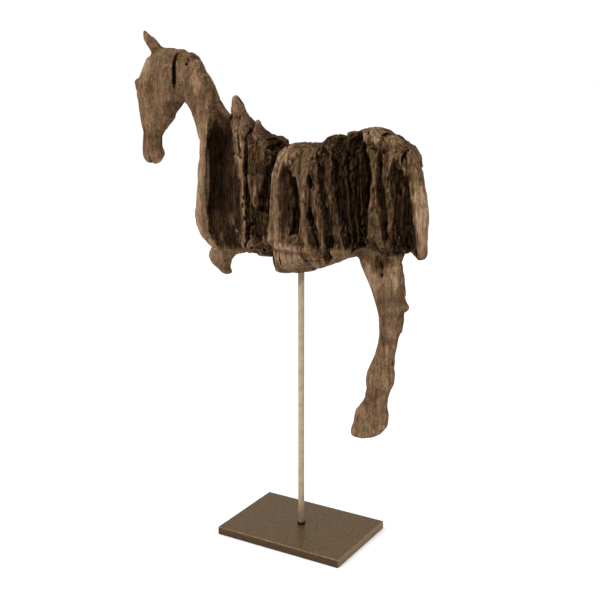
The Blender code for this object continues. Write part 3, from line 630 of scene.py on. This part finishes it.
class Carving:
    """What the weather did at each point of a surface: depth in millimetres, and tone from 0 to 1. The
    tone holds painted shade and painted light as well as the wood's own colour.
    """

    def __init__(self, surface):
        s = surface
        wander = s.stretched(17, 34)
        x = s.x + 1.2 * noise(wander, 5) + 0.9 * noise(s.stretched(6, 13), 6)
        h = s.h + 2.0 * noise(wander, 7) + 4.0 * noise(s.stretched(4, 60), 8)
        self.near = rise(s.y, 3, -3)
        bridges = 0.45 * rise(noise(s.stretched(14, 26), 10), 0.12, 0.5)
        near = painted_areas(NEAR_AREAS, x, h, bridges)
        far = painted_areas(FAR_AREAS, x + 6 * noise(s.stretched(60, 90), 9), h, bridges)
        depth, rough, tone = (blend(b, a, self.near) for a, b in zip(near, far))
        self.trunk = trunk_mask(s)
        upright = rise(np.abs(s.y), 4, 17)
        depth = depth * blend(0.25, 1.0, upright)
        self.depth = self.trunk * depth
        self.rough = rough * self.trunk * blend(0.7, 1.0, upright)
        clouds = noise(s.stretched(14, 34), 14) + noise(s.stretched(5, 14), 15)
        self.tone = blend(SMOOTH_TONE + 0.04 * clouds, tone, self.trunk)
        self.add_shoulder(s, x, h)
        self.add_tail(s, h)
        self.add_ragged_edges(s)
        self.add_small_marks(s)

    def add_shoulder(self, s, x, h):
        rows = np.array(SHOULDER_HOLLOW, float)[::-1]
        front = np.interp(h, rows[:, 0], rows[:, 1])
        rear = np.interp(h, rows[:, 0], rows[:, 2])
        steady_x = blend(x, s.x, 0.7)
        way = (steady_x - front) / (rear - front)
        along = rise(h, 18, 40) * rise(h, 222, 170)
        inside = rise(steady_x - front, 0.2, 1.8) * rise(way, 1.5, 0.2) * along * rise(np.abs(s.y), 5, 13)
        side = blend(0.75, 1.0, self.near)
        self.depth = self.depth + SHOULDER_DEPTH * inside * side
        streaks = np.abs(layered(s.stretched(4, 70), 81, 2))
        self.depth = self.depth + 1.1 * inside * np.clip(1 - streaks / 0.25, 0, 1)
        deepest_shade = box(s, -142, -108, 150, 190, 6, 14)
        foot = box(s, -142, -116, 30, 70, 6, 14)
        # The hollow's dark tone is partly the wood's darker colour and partly painted shade: darkest by
        # the breast's edge, where its wall faces away from the light, with extra painted shade in its
        # deep middle part
        tone = blend(0.17, 0.24, rise(way, 0.35, 1.0)) - 0.06 * deepest_shade + 0.14 * foot
        tone = tone + 0.07 * rise(h, 185, 205) + 0.12 * rise(way, 0.25, 0.05) * rise(h, 125, 150)
        soft = 0.7 + 7 * rise(h, 172, 208)
        shaded = rise(h, 18, 34) * rise(h, 234, 196)
        ridge = np.interp(h, *np.array(RIDGE_FRONT).T)
        reach = rise((steady_x - front + 0.5 - 0.4 * soft) / soft, -1, 1) * rise(s.x - ridge, 1, -4)
        reach = reach * shaded * rise(np.abs(s.y), 5, 13)
        self.tone = blend(self.tone, blend(self.tone, tone, side), reach)
        # The band along the breast's edge is lighter, partly smoother wood and partly painted light where
        # it faces the light
        pale_and_lit_strip = rise(steady_x - front, 0.2, -1.2) * box(s, -172, -130, 20, 190, 4, 24)
        self.tone = self.tone + 0.15 * pale_and_lit_strip
        foot_of_neck = box(s, -132, -120, 208, 226, 9, 14) * rise(np.abs(s.y), 2, 12)
        self.tone = self.tone - 0.12 * foot_of_neck * (1 - reach)

    def add_tail(self, s, h):
        rows = np.array(TAIL_EDGE, float)[::-1]
        edge = np.interp(h, rows[:, 0], rows[:, 1])
        tail = rise(s.x - edge, -1.5, 1.5) * rise(h, 186, 176)
        spear = box(s, 172, 196, 58, 128, 3, 16)
        seam = rise(np.abs(s.x - edge - 1.5), 2.2, 0.6) * rise(s.h, 120, 96)
        streaks = 0.07 * noise(s.stretched(3, 26), 91) + 0.05 * noise(s.stretched(6, 12), 92)
        outline = rise(np.abs(s.x - edge - 3), 2.0, 0.5) * box(s, 165, 190, 60, 130, 3, 10)
        tail_tone = 0.53 + 0.23 * spear + 0.04 * rise(h, 128, 140) + streaks
        self.tone = blend(self.tone, tail_tone - 0.22 * seam - 0.18 * outline, tail)
        self.depth = blend(self.depth, 0.6, tail)
        self.rough = blend(self.rough, blend(0.35, 0.8, rise(h, 118, 140)), tail)

    def add_ragged_edges(self, s):
        """The crumbled rear edges of the neck and the leg."""
        rear = s.normals[:, 0]
        neck = rise(rear, 0.5, 0.95) * rise(s.h, 208, 224) * rise(s.x, -182, -172) * (1 - self.trunk)
        self.tone = self.tone - neck * (0.05 + 0.06 * noise(s.stretched(5, 9), 97))
        leg = rise(rear, 0.4, 0.9) * rise(s.h, 30, 10) * rise(s.h, -190, -170)
        self.ragged = np.maximum(neck, 0.7 * leg)

    def add_small_marks(self, s):
        for x, height, half_length, half_height, depth in NEAR_HOLES:
            far_out = np.hypot((s.x - x) / half_length, (s.h - height) / half_height)
            far_out = far_out + 0.4 * noise(s.stretched(1.8, 3.0), 96)
            hole = rise(far_out, 1.25, 0.6) * self.near
            self.depth = self.depth + depth * hole
            self.tone = blend(self.tone, 0.05, 0.9 * hole)
        slit, _ = area_mask(CHEEK_SLIT, s.x, s.h, 0.5)
        self.tone = blend(self.tone, 0.02, slit * self.near)
        for x, height, half_length, half_height, change in NEAR_MARKS:
            far_out = np.hypot((s.x - x) / half_length, (s.h - height) / half_height)
            far_out = far_out + 0.35 * noise(s.stretched(2.6, 5), 95)
            self.tone = self.tone + change * rise(far_out, 1.3, 0.5) * self.near
        # Painted shade on the top of the leg below the trunk's overhang, and the belly a little darker
        overhang_shade = rise(s.h, 50, 38) * rise(s.h, 18, 32) * box(s, 108, 158, 10, 60, 5, 8)
        self.tone = self.tone - 0.06 * overhang_shade - 0.03 * box(s, -34, 44, -4, 36, 8, 6)


def box(s, low_x, high_x, low_h, high_h, soft_x, soft_h):
    """1 inside a region of the side view, fading out over soft_x and soft_h."""
    across = rise(s.x, low_x - soft_x, low_x) * rise(s.x, high_x + soft_x, high_x)
    return across * rise(s.h, low_h - soft_h, low_h) * rise(s.h, high_h + soft_h, high_h)


def trunk_mask(s):
    """1 on the eroded trunk, 0 on the head, neck, breast, belly, tail and legs."""
    front = -93 + 2 * noise(s.stretched(30, 60), 72) - 18 * rise(s.h, 186, 214)
    floor = np.interp(s.x, *np.array(TRUNK_FLOOR).T)
    floor = floor + 4 * noise(s.stretched(12, 40), 73)
    floor = blend(floor, 14, box(s, -22, 62, 0, 50, 6, 6) * rise(s.y, -20, -30))
    inside = rise(s.x, front - 3, front + 3) * rise(s.x, 190, 184)
    leg = box(s, 80, 165, -300, 38, 6, 4)
    return inside * rise(s.h, floor - 4, floor + 4) * (1 - leg)


def trims(s):
    """What the outline loses by itself, in millimetres."""
    taken = np.zeros(len(s.x))
    for low_x, high_x, low_h, high_h, way, amount, soft in TRIMS:
        facing = rise(s.normals @ np.array(way), 0.3, 0.85)
        taken = taken + amount * facing * box(s, low_x, high_x, low_h, high_h, 4, soft)
    return taken


def terraces(value, steps, sharpness):
    """The value as level steps with short slopes between them."""
    scaled = value * steps
    whole = np.floor(scaled)
    part = scaled - whole
    return (whole + rise(part, 0.5 - 0.5 / sharpness, 0.5 + 0.5 / sharpness)) / steps


def sway(s, spacing, length, seed):
    """Sideways shifts that bend the streaks of a noise."""
    shifts = [noise(s.stretched(spacing, length), seed + k) for k in range(2)]
    return np.column_stack([*shifts, np.zeros(len(s.x))])


def coarse_wear(s, carving):
    """Slabs, steps and crevices of the eroded wood, in millimetres of depth."""
    warp = sway(s, 30, 90, 301)
    wide = layered(s.stretched(12, 110) + 0.45 * warp, 11, 2)
    slabs = terraces(wide, 2.5, 3.0)
    cracks = np.abs(layered(s.stretched(9, 85) + 0.6 * warp, 21, 2))
    cracks = np.clip(1 - cracks / 0.13, 0, 1) * rise(noise(s.stretched(16, 70), 22), -0.4, 0.3)
    pits = rise(noise(s.stretched(6, 18), 41), 0.48, 0.8)
    return carving.rough * (1.5 * slabs + 3.0 * cracks + 1.2 * pits + 0.4)


def fine_wear(s, carving):
    """Splinters and open grain, in millimetres of depth."""
    warp = sway(s, 20, 70, 311)
    ridges = np.abs(layered(s.stretched(3.0, 42) + 0.4 * warp, 51, 2))
    crumbs = layered(s.stretched(2.8, 8), 61, 2)
    rough = carving.rough * (1.3 * np.clip(0.55 - ridges, 0, 1) + 0.22 * crumbs)
    top = rise(s.normals[:, 2], 0.45, 0.9) * carving.trunk * rise(s.x, -70, -40)
    rough = rough + top * (0.35 * layered(s.stretched(5, 7), 63, 2) + 0.3 * crumbs)
    waves = 0.45 * layered(s.stretched(15, 34), 71, 2)
    checks = np.abs(layered(s.stretched(4.5, 60) + 0.5 * warp, 81, 2))
    checks = np.clip(1 - checks / 0.12, 0, 1) * rise(noise(s.stretched(14, 40), 82), 0.0, 0.5)
    rough = rough + carving.ragged * layered(s.stretched(7, 10), 98, 2)
    return rough + (1 - carving.trunk) * (waves + 0.6 * checks) + 0.1 * crumbs


def baked_mesh(piece):
    """The piece's mesh with its modifiers applied, which are then taken off."""
    graph = bpy.context.evaluated_depsgraph_get()
    made = bpy.data.meshes.new_from_object(piece.evaluated_get(graph))
    piece.modifiers.clear()
    old = piece.data
    piece.data = made
    bpy.data.meshes.remove(old)
    return made


def one_skin(piece, cell):
    """One even skin over the piece, with cells of that size."""
    skin = piece.modifiers.new("skin", "REMESH")
    skin.mode = "VOXEL"
    skin.voxel_size = cell
    return baked_mesh(piece)


def thin_out(piece, most_triangles):
    piece.data.calc_loop_triangles()
    count = len(piece.data.loop_triangles)
    if count > most_triangles:
        fewer = piece.modifiers.new("fewer", "DECIMATE")
        fewer.ratio = most_triangles / count
        baked_mesh(piece)
    return piece.data


def paint(mesh, name, values):
    layer = mesh.attributes.new(name, "FLOAT", "POINT")
    layer.data.foreach_set("value", np.clip(values, 0, 1).astype(np.float32))


def add_filling(mesh):
    """The form that fills the gaps of the trunk, which the carving then opens again."""
    ends = []
    for x, low, high, half_width in FILLED_TRUNK:
        ring = bmesh.ops.create_circle(mesh, segments=48, radius=1)["verts"]
        for vert in ring:
            across, up = vert.co.x, vert.co.y
            squared = (abs(across) ** 3 + abs(up) ** 3) ** (1 / 3)
            vert.co = (
                x * MM,
                across / squared * half_width * MM,
                ((low + high) / 2 + up / squared * (high - low) / 2 + BELLY_HEIGHT) * MM,
            )
        ends.append(list({edge for vert in ring for edge in vert.link_edges}))
    for before, after in zip(ends, ends[1:]):
        bmesh.ops.bridge_loops(mesh, edges=before + after)
    caps = [bmesh.ops.contextual_create(mesh, geom=end)["faces"] for end in (ends[0], ends[-1])]
    skin = {face for end in ends for edge in end for face in edge.link_faces} | set(sum(caps, []))
    bmesh.ops.recalc_face_normals(mesh, faces=list(skin))


def filled_copy(node_name, piece_name):
    """A new piece with a copy of a solid's mesh, its doubled points merged, and the filling."""
    mesh = bmesh.new()
    mesh.from_mesh(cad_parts[node_name].data)
    bmesh.ops.remove_doubles(mesh, verts=mesh.verts, dist=0.001 * MM)
    add_filling(mesh)
    data = bpy.data.meshes.new(piece_name)
    mesh.to_mesh(data)
    mesh.free()
    piece = bpy.data.objects.new(piece_name, data)
    bpy.context.scene.collection.objects.link(piece)
    return piece


def horse_skin():
    """The horse with its eroded surface."""
    piece = filled_copy("horse", "horse_skin")
    surface = Surface(one_skin(piece, FIRST_CELL))
    surface.soften(SOFTENING_ROUNDS)
    surface = Surface(piece.data)
    carving = Carving(surface)
    topside = carving.trunk * rise(surface.normals[:, 2], 0.35, 0.85)
    depth = (carving.depth + coarse_wear(surface, carving)) * (1 - 0.7 * topside)
    depth = depth + trims(surface)
    surface.write(surface.points - surface.normals * depth[:, None])
    surface = Surface(one_skin(piece, SECOND_CELL))
    carving = Carving(surface)
    surface.write(surface.points - surface.normals * fine_wear(surface, carving)[:, None])
    mesh = thin_out(piece, MOST_TRIANGLES)
    surface = Surface(mesh)
    carving = Carving(surface)
    paint(mesh, "tone", carving.tone)
    # Crest and swell measures for the wood's painted highlight where it stands out and painted shade in
    # its hollows
    paint(mesh, "crest", 0.5 + 0.9 * surface.bulge(CREST_ROUNDS))
    paint(mesh, "swell", 0.5 + 0.16 * surface.bulge(SWELL_ROUNDS))
    paint(mesh, "trunk", carving.trunk)
    mesh.shade_smooth()
    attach(piece, "root")
    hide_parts("horse")
    return piece


def node_group(name, inputs, outputs):
    """An empty shader group with number inputs (name: default) and outputs (name: kind)."""
    group = bpy.data.node_groups.new(name, "ShaderNodeTree")
    for label, default in inputs.items():
        socket = group.interface.new_socket(label, in_out="INPUT", socket_type="NodeSocketFloat")
        socket.default_value = default
    for label, kind in outputs.items():
        group.interface.new_socket(label, in_out="OUTPUT", socket_type=kind)
    return group, group.nodes.new("NodeGroupInput"), group.nodes.new("NodeGroupOutput")


def place(tree, kind, **settings):
    """A new node, with plain settings."""
    node = tree.nodes.new(kind)
    for name, value in settings.items():
        setattr(node, name, value)
    return node


def connect(tree, socket, value):
    """Links a value to a socket, or sets it where it is a plain number or colour."""
    if isinstance(value, bpy.types.NodeSocket):
        tree.links.new(value, socket)
    elif isinstance(value, tuple):
        socket.default_value = (*value, 1.0)
    else:
        socket.default_value = value


def calc(tree, operation, first, second=0.0, clamp=False):
    node = place(tree, "ShaderNodeMath", operation=operation, use_clamp=clamp)
    connect(tree, node.inputs[0], first)
    connect(tree, node.inputs[1], second)
    return node.outputs[0]


def mix_colours(tree, share, first, second, way="MIX"):
    node = place(tree, "ShaderNodeMix", data_type="RGBA", blend_type=way)
    connect(tree, node.inputs[0], share)
    connect(tree, node.inputs[6], first)
    connect(tree, node.inputs[7], second)
    return node.outputs[2]


def spread(tree, value, low, high, low_out=0.0, high_out=1.0):
    """The value stretched from one range to another, and held inside it."""
    node = place(tree, "ShaderNodeMapRange", clamp=True)
    for socket, number in zip(node.inputs[:5], (value, low, high, low_out, high_out)):
        connect(tree, socket, number)
    return node.outputs[0]


def noise_texture(tree, vector, scale, detail, roughness=0.55):
    texture = place(tree, "ShaderNodeTexNoise")
    connect(tree, texture.inputs["Vector"], vector)
    connect(tree, texture.inputs["Scale"], scale)
    texture.inputs["Detail"].default_value = detail
    texture.inputs["Roughness"].default_value = roughness
    return texture.outputs["Fac"]


def grain_group():
    """Streaks along the upright grain, a broad one and a fine one, with longish blotches and crumbs."""
    group, given, made = node_group(
        "upright_grain",
        {"Across": 400.0, "Stretch": 0.08},
        {**dict.fromkeys(GRAIN_MASKS, "NodeSocketFloat"), "Tint": "NodeSocketColor"},
    )
    coordinates = place(group, "ShaderNodeTexCoord").outputs["Object"]
    squeeze = place(group, "ShaderNodeCombineXYZ")
    squeeze.inputs[0].default_value = 1.0
    squeeze.inputs[1].default_value = 1.0
    group.links.new(given.outputs["Stretch"], squeeze.inputs[2])
    squeezed = place(group, "ShaderNodeVectorMath", operation="MULTIPLY")
    group.links.new(coordinates, squeezed.inputs[0])
    group.links.new(squeeze.outputs[0], squeezed.inputs[1])
    across = given.outputs["Across"]
    broad = noise_texture(group, squeezed.outputs[0], calc(group, "MULTIPLY", across, 0.25), 3.0, 0.6)
    fine = noise_texture(group, squeezed.outputs[0], across, 4.0, 0.65)
    flattened = place(group, "ShaderNodeVectorMath", operation="MULTIPLY")
    flattened.inputs[1].default_value = (1.0, 1.0, 0.38)
    group.links.new(coordinates, flattened.inputs[0])
    blotches = noise_texture(group, flattened.outputs[0], calc(group, "MULTIPLY", across, 0.7), 2.0, 0.6)
    crumbs = noise_texture(group, coordinates, calc(group, "MULTIPLY", across, 1.5), 3.0, 0.65)
    for label, value in zip(GRAIN_MASKS, (broad, fine, blotches, crumbs)):
        group.links.new(value, made.inputs[label])
    patches = place(group, "ShaderNodeTexNoise")
    group.links.new(flattened.outputs[0], patches.inputs["Vector"])
    group.links.new(calc(group, "MULTIPLY", across, 0.35), patches.inputs["Scale"])
    tint = place(group, "ShaderNodeVectorMath", operation="MULTIPLY_ADD")
    group.links.new(patches.outputs["Color"], tint.inputs[0])
    tint.inputs[1].default_value = TINT_SWING
    tint.inputs[2].default_value = [1 - swing / 2 for swing in TINT_SWING]
    group.links.new(tint.outputs[0], made.inputs["Tint"])
    return group


def attribute(tree, name):
    return place(tree, "ShaderNodeAttribute", attribute_name=name).outputs["Fac"]


def new_material(name):
    material = bpy.data.materials.new(name)
    material.use_nodes = True
    return material, material.node_tree, material.node_tree.nodes["Principled BSDF"]


def wood_ramp(tree, value):
    ramp = place(tree, "ShaderNodeValToRGB")
    steps = ramp.color_ramp.elements
    while len(steps) < len(WOOD_STEPS):
        steps.new(0.5)
    for step, (at, colour) in zip(steps, WOOD_STEPS):
        step.position = at
        step.color = (*colour, 1.0)
    tree.links.new(value, ramp.inputs[0])
    return ramp.outputs[0]


def weathered_wood(grain):
    material, tree, shader = new_material("weathered_wood")
    streaks = place(tree, "ShaderNodeGroup", node_tree=grain)
    streaks.inputs["Across"].default_value = GRAIN_ACROSS
    streaks.inputs["Stretch"].default_value = GRAIN_STRETCH
    broad, fine, blotches, crumbs = (streaks.outputs[label] for label in GRAIN_MASKS)
    tone = attribute(tree, "tone")
    trunk = attribute(tree, "trunk")
    tone = calc(tree, "ADD", tone, spread(tree, broad, 0.3, 0.7, -0.05, 0.05))
    flecks = spread(tree, fine, 0.3, 0.7, -0.09, 0.09)
    flecks = calc(tree, "MULTIPLY", flecks, spread(tree, trunk, 0, 1, 0.65, 1.0))
    tone = calc(tree, "ADD", tone, flecks)
    tone = calc(tree, "ADD", tone, spread(tree, blotches, 0.3, 0.7, -0.08, 0.08))
    dots = spread(tree, crumbs, 0.35, 0.65, -0.08, 0.08)
    dots = calc(tree, "MULTIPLY", dots, spread(tree, trunk, 0, 1, 1.2, 1.0))
    tone = calc(tree, "ADD", tone, dots)
    # Painted highlight on crests and swells and painted shade in the hollows, mostly on the trunk; the
    # shade also stands for the hollows' darker stain
    crest = spread(tree, attribute(tree, "crest"), 0.1, 0.9, -0.13, 0.13)
    tone = calc(tree, "ADD", tone, calc(tree, "MULTIPLY", crest, spread(tree, trunk, 0, 1, 0.6, 1.0)))
    swell = spread(tree, attribute(tree, "swell"), 0.1, 0.9, -0.08, 0.08)
    tone = calc(tree, "ADD", tone, calc(tree, "MULTIPLY", swell, trunk), clamp=True)
    colour = mix_colours(tree, 1.0, wood_ramp(tree, tone), streaks.outputs["Tint"], "MULTIPLY")
    tree.links.new(colour, shader.inputs["Base Color"])
    height = calc(tree, "ADD", fine, calc(tree, "MULTIPLY", crumbs, 0.6))
    bump = place(tree, "ShaderNodeBump")
    bump.inputs["Strength"].default_value = 0.7
    bump.inputs["Distance"].default_value = 0.7 * MM
    tree.links.new(height, bump.inputs["Height"])
    tree.links.new(bump.outputs[0], shader.inputs["Normal"])
    tree.links.new(spread(tree, fine, 0.3, 0.7, 0.72, 0.9), shader.inputs["Roughness"])
    shader.inputs["Specular IOR Level"].default_value = 0.01
    return material


def plain_material(name, colour, roughness, metallic):
    material, _, shader = new_material(name)
    shader.inputs["Base Color"].default_value = (*colour, 1.0)
    shader.inputs["Roughness"].default_value = roughness
    shader.inputs["Metallic"].default_value = metallic
    return material


def band(tree, value, middle, half, soft):
    """1 where the value is within half of the middle, and 0 beyond the soft edge."""
    off = calc(tree, "ABSOLUTE", calc(tree, "SUBTRACT", value, middle))
    return spread(tree, off, half, half + soft, 1.0, 0.0)


def mottle_group():
    """Cloudy and speckled patches of bare metal, with the object's own x, y and z in metres."""
    group, given, made = node_group(
        "metal_mottle",
        {"Size": 120.0},
        dict.fromkeys(("Clouds", "Specks", "X", "Y", "Z"), "NodeSocketFloat"),
    )
    coordinates = place(group, "ShaderNodeTexCoord").outputs["Object"]
    size = given.outputs["Size"]
    clouds = noise_texture(group, coordinates, size, 3.0, 0.6)
    specks = noise_texture(group, coordinates, calc(group, "MULTIPLY", size, 6.0), 2.0, 0.6)
    axes = place(group, "ShaderNodeSeparateXYZ")
    group.links.new(coordinates, axes.inputs[0])
    group.links.new(clouds, made.inputs["Clouds"])
    group.links.new(specks, made.inputs["Specks"])
    for k, label in enumerate("XYZ"):
        group.links.new(axes.outputs[k], made.inputs[label])
    return group


def mottled(tree, mottle, size):
    streaks = place(tree, "ShaderNodeGroup", node_tree=mottle)
    streaks.inputs["Size"].default_value = size
    return [streaks.outputs[label] for label in ("Clouds", "Specks", "X", "Y", "Z")]


def rod_steel(mottle):
    material, tree, shader = new_material("bright_steel")
    clouds, specks, x, _, z = mottled(tree, mottle, 160.0)
    stain_and_reflection = spread(tree, specks, 0.35, 0.65, 0.0, 0.4)
    stain_and_reflection = calc(tree, "ADD", stain_and_reflection, spread(tree, clouds, 0.4, 0.7, 0.0, 0.35))
    # Painted reflection of the belly darkens the top of the rod along a slant, and the rod is darker
    # towards its foot
    slanted = calc(tree, "SUBTRACT", z, calc(tree, "MULTIPLY", x, 1.5))
    belly_reflection = spread(tree, slanted, 0.370, 0.378, 0.0, 0.6)
    near_foot = spread(tree, z, 0.060, 0.012, 0.0, 0.6)
    stain_and_reflection = calc(tree, "ADD", calc(tree, "ADD", stain_and_reflection, belly_reflection), near_foot, clamp=True)
    tree.links.new(mix_colours(tree, stain_and_reflection, STEEL_PALE, STEEL_STAIN_AND_REFLECTION), shader.inputs["Base Color"])
    shader.inputs["Roughness"].default_value = 0.5
    shader.inputs["Metallic"].default_value = 0.35
    return material


def plate_steel(mottle):
    """Dull steel, bright along its top edges, with painted shade on its sides, darker towards the bottom,
    and painted light on its rear end.
    """
    material, tree, shader = new_material("dark_steel")
    clouds, specks, x, y, z = mottled(tree, mottle, 60.0)
    dark = spread(tree, specks, 0.35, 0.65, 0.0, 0.7)
    # Painted shade on the sides, and darker towards the bottom
    side = spread(tree, z, PLATE_TOP - RIM_WIDTH, PLATE_TOP - 0.0016, 0.0, 1.0)
    side = calc(tree, "MULTIPLY", side, spread(tree, clouds, 0.35, 0.65, 0.1, 1.1))
    low = spread(tree, z, 0.008, 0.001, 0.0, 0.7)
    # Painted light on the rear end, which is paler
    lit_rear_end = spread(tree, x, PLATE_HALF_LENGTH - 0.001, PLATE_HALF_LENGTH, 0.0, 0.9)
    dark = calc(tree, "ADD", dark, calc(tree, "ADD", side, low))
    dark = calc(tree, "SUBTRACT", dark, lit_rear_end, clamp=True)
    colour = mix_colours(tree, dark, PLATE_BROWN, PLATE_DARK)
    colour = mix_colours(tree, calc(tree, "MULTIPLY", lit_rear_end, 0.35), colour, PLATE_PALE)
    ends = band(tree, calc(tree, "ABSOLUTE", x), PLATE_HALF_LENGTH, RIM_WIDTH, 0.0006)
    sides = band(tree, calc(tree, "ABSOLUTE", y), PLATE_HALF_WIDTH, RIM_WIDTH, 0.0006)
    rim = calc(tree, "MAXIMUM", ends, sides)
    rim = calc(tree, "MULTIPLY", rim, spread(tree, z, PLATE_TOP - 0.0016, PLATE_TOP - 0.0006, 0.0, 1.0))
    rim = calc(tree, "MULTIPLY", rim, spread(tree, specks, 0.4, 0.6, 0.1, 1.0))
    rim = calc(tree, "MULTIPLY", rim, spread(tree, clouds, 0.4, 0.6, 0.3, 1.0))
    colour = mix_colours(tree, rim, colour, PLATE_PALE)
    tree.links.new(colour, shader.inputs["Base Color"])
    tree.links.new(spread(tree, specks, 0.3, 0.7, 0.34, 0.5), shader.inputs["Roughness"])
    shader.inputs["Metallic"].default_value = 0.3
    shader.inputs["Specular IOR Level"].default_value = 0.1
    return material


def dress(piece, material):
    piece.data.materials.clear()
    piece.data.materials.append(material)


def studio_floor():
    """A wide white floor."""
    disc = bmesh.new()
    bmesh.ops.create_circle(disc, cap_ends=True, segments=64, radius=30)
    data = bpy.data.meshes.new("studio_floor")
    disc.to_mesh(data)
    disc.free()
    floor = bpy.data.objects.new("studio_floor", data)
    bpy.context.scene.collection.objects.link(floor)
    dress(floor, plain_material("studio_white", FLOOR_WHITE, 0.9, 0.0))


def add_camera():
    lens = bpy.data.cameras.new("camera")
    lens.lens = CAMERA_LENS
    lens.sensor_width = 36.0
    lens.sensor_fit = "HORIZONTAL"
    lens.shift_x = CAMERA_SHIFT
    camera = bpy.data.objects.new("camera", lens)
    camera.location = CAMERA_PLACE
    camera.rotation_euler = (math.radians(90) - CAMERA_DIP, 0, CAMERA_TURN)
    bpy.context.scene.collection.objects.link(camera)
    bpy.context.scene.camera = camera


def soft_light(name, bearing, height, distance, size, power):
    """A square light that looks at the horse from a bearing, where 0 is the camera's side."""
    turn = CAMERA_TURN + math.radians(bearing)
    data = bpy.data.lights.new(name, "AREA")
    data.shape = "SQUARE"
    data.size = size
    data.energy = power
    light = bpy.data.objects.new(name, data)
    light.location = (distance * math.sin(turn), -distance * math.cos(turn), height)
    aim = light.location - Vector((0, 0, AIM_HEIGHT))
    light.rotation_euler = aim.to_track_quat("Z", "Y").to_euler()
    bpy.context.scene.collection.objects.link(light)


def light_studio():
    for name, (bearing, height, distance, size, power) in LIGHTS.items():
        soft_light(name, bearing, height, distance, size, power)
    world = bpy.data.worlds.new("studio")
    world.use_nodes = True
    world.node_tree.nodes["Background"].inputs[0].default_value = (1, 1, 1, 1)
    world.node_tree.nodes["Background"].inputs[1].default_value = SKY_STRENGTH
    bpy.context.scene.world = world
    bpy.context.scene.view_settings.view_transform = "Standard"


def main():
    add_camera()
    grain = grain_group()
    mottle = mottle_group()
    skin = horse_skin()
    dress(skin, weathered_wood(grain))
    dress(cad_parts["rod"], rod_steel(mottle))
    dress(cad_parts["base_plate"], plate_steel(mottle))
    rubber = plain_material("black_rubber", RING_BLACK, 0.8, 0.0)
    rubber.node_tree.nodes["Principled BSDF"].inputs["Specular IOR Level"].default_value = 0.1
    dress(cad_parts["rod_foot_ring"], rubber)
    studio_floor()
    light_studio()


main()
